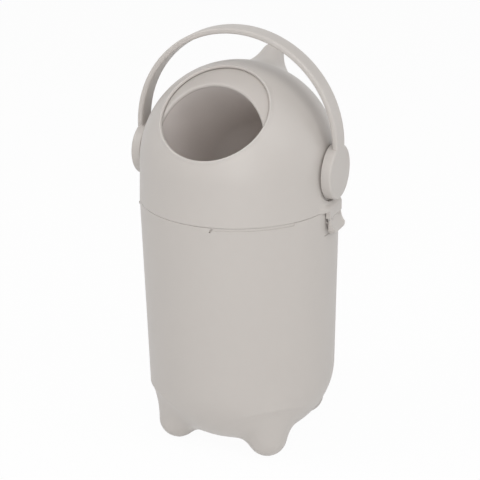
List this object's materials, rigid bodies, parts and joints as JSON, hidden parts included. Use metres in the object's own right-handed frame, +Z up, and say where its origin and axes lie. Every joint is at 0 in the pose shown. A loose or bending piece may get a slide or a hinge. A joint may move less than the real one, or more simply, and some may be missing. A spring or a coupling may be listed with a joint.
{
  "type": "nappy bin",
  "caption": "Nappy bin: a bucket on moulded feet, a domed lid with a round mouth, and a cup-shaped ball that the arched handle turns to drop each nappy.",
  "frame": {"origin": "middle of the footprint, on the floor", "axes": "+Z up, -Y towards the side with the opening, X along the handle's axle"},
  "size_m": [0.2804, 0.26, 0.5589],
  "materials": {
    "shell": "fine satin moulding",
    "inner_shell": "smooth moulding",
    "seal": "soft, matte",
    "pad": "soft, matte",
    "steel": "plain",
    "bush": "smooth, self-lubricating"
  },
  "bodies": {
    "bucket": {"bucket": "shell", "foot_pad_front_left": "pad", "foot_pad_front_right": "pad", "foot_pad_back_left": "pad", "foot_pad_back_right": "pad", "bag_ring": "shell"},
    "lid": {"lid_dome": "shell", "mouth_seal": "seal", "inner_collar": "shell", "collar_seal": "seal", "rim_gasket": "seal", "collar_screws": "steel", "pivot_bush_left": "bush", "pivot_bush_right": "bush", "clip_pin_left": "steel", "clip_pin_right": "steel"},
    "ball": {"ball_front": "inner_shell", "nappy_cup": "inner_shell", "ball_back": "inner_shell", "handle": "shell", "retaining_clip_left": "steel", "retaining_clip_right": "steel"},
    "clip_left": {"clip_left": "shell"},
    "clip_right": {"clip_right": "shell"}
  },
  "joints": [
    {"name": "lid_lift", "type": "slide", "parent": "bucket", "child": "lid", "axis": [0, 0, 1], "range_m": [0, 0.15]},
    {"name": "handle_turn", "type": "hinge", "parent": "lid", "child": "ball", "pos_m": [0, 0, 0.385], "axis": [1, 0, 0], "range_deg": [-20.7, 118.7]},
    {"name": "clip_left_swing", "type": "hinge", "parent": "lid", "child": "clip_left", "pos_m": [-0.1326, 0, 0.3258], "axis": [0, 1, 0], "range_deg": [0, 60]},
    {"name": "clip_right_swing", "type": "hinge", "parent": "lid", "child": "clip_right", "pos_m": [0.1326, 0, 0.3258], "axis": [0, -1, 0], "range_deg": [0, 60]}
  ]
}
